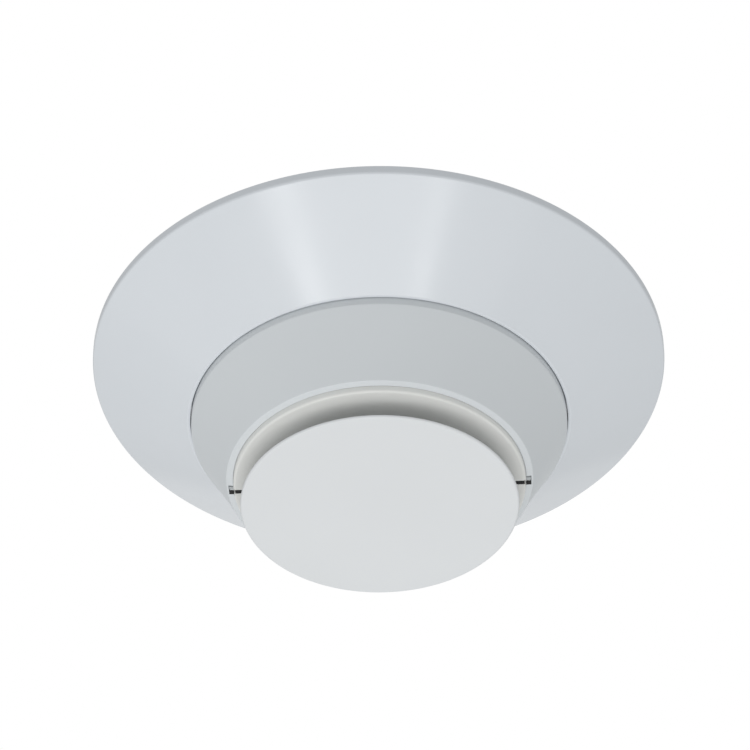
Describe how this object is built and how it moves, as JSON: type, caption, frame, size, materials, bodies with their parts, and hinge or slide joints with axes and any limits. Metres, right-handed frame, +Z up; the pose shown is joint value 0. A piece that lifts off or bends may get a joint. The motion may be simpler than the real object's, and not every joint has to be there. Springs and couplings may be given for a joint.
{
  "type": "heat detector",
  "caption": "Ceiling heat detector: a wide conical trim skirt over a twist-lock base, and a plug-in head whose thermistor hangs in the air gap above a round disc.",
  "frame": {"origin": "centre of the base's flat ceiling face", "axes": "+Z up into the ceiling, so the detector hangs below z = 0; +X passes through one status-light notch, -X through the other"},
  "size_m": [0.173, 0.173, 0.0556],
  "materials": {
    "skirt_plastic": "smooth moulded white ABS with a soft gloss",
    "head_plastic": "fine-textured white ABS, satin",
    "disc_plastic": "fine-textured white ABS, matte",
    "base_plastic": "white polycarbonate, moulded, satin",
    "lever_plastic": "natural acetal, satin",
    "contact_brass": "stamped and tin-flashed brass",
    "screw_steel": "zinc-plated steel",
    "gasket_rubber": "closed-cell black rubber",
    "label_film": "plain white film label, no text",
    "board_laminate": "green solder-masked glass-epoxy laminate",
    "chip_resin": "black moulded epoxy",
    "chip_ceramic": "fired ceramic with tinned ends",
    "capacitor_can": "sleeved aluminium can",
    "coil_wire": "ferrite core wound with lacquered wire",
    "led_resin": "clear-topped light emitting diode",
    "light_pipe_acrylic": "milky clear acrylic",
    "baffle_plastic": "black ABS, moulded, dull",
    "thermistor_epoxy": "black epoxy dipped bead",
    "guard_plastic": "natural nylon tube"
  },
  "bodies": {
    "base": {"trim_skirt": "skirt_plastic", "base_plate": "base_plastic", "terminal_contacts": "contact_brass", "terminal_screws": "screw_steel", "clamp_plates": "screw_steel", "contact_rivets": "contact_brass", "lever_pin": "screw_steel"},
    "head": {"rear_cover": "base_plastic", "cover_screws": "screw_steel", "rating_label": "label_film", "contact_blades": "contact_brass", "cover_gasket": "gasket_rubber", "head_shell": "head_plastic", "circuit_board": "board_laminate", "board_screws": "screw_steel", "processor_chip": "chip_resin", "memory_chip": "chip_resin", "capacitors": "capacitor_can", "choke_coil": "coil_wire", "bridge_rectifier": "chip_resin", "chip_parts": "chip_ceramic", "test_header": "chip_resin", "status_leds": "led_resin", "light_pipe_left": "light_pipe_acrylic", "light_pipe_right": "light_pipe_acrylic", "light_baffles": "baffle_plastic", "chamber_floor": "head_plastic", "thermistor": "thermistor_epoxy", "thermistor_guard": "guard_plastic", "cap_disc": "disc_plastic", "disc_screws": "screw_steel"},
    "lever": {"lock_lever": "lever_plastic"}
  },
  "joints": [
    {"name": "head_twist", "type": "hinge", "parent": "base", "child": "head", "pos_m": [0, 0, -0.0122], "axis": [0, 0, -1], "range_deg": [0, 18]},
    {"name": "lever_turn", "type": "hinge", "parent": "base", "child": "lever", "pos_m": [-0.00748, -0.03521, -0.0102], "axis": [0, 0, -1], "range_deg": [0, 9]}
  ]
}
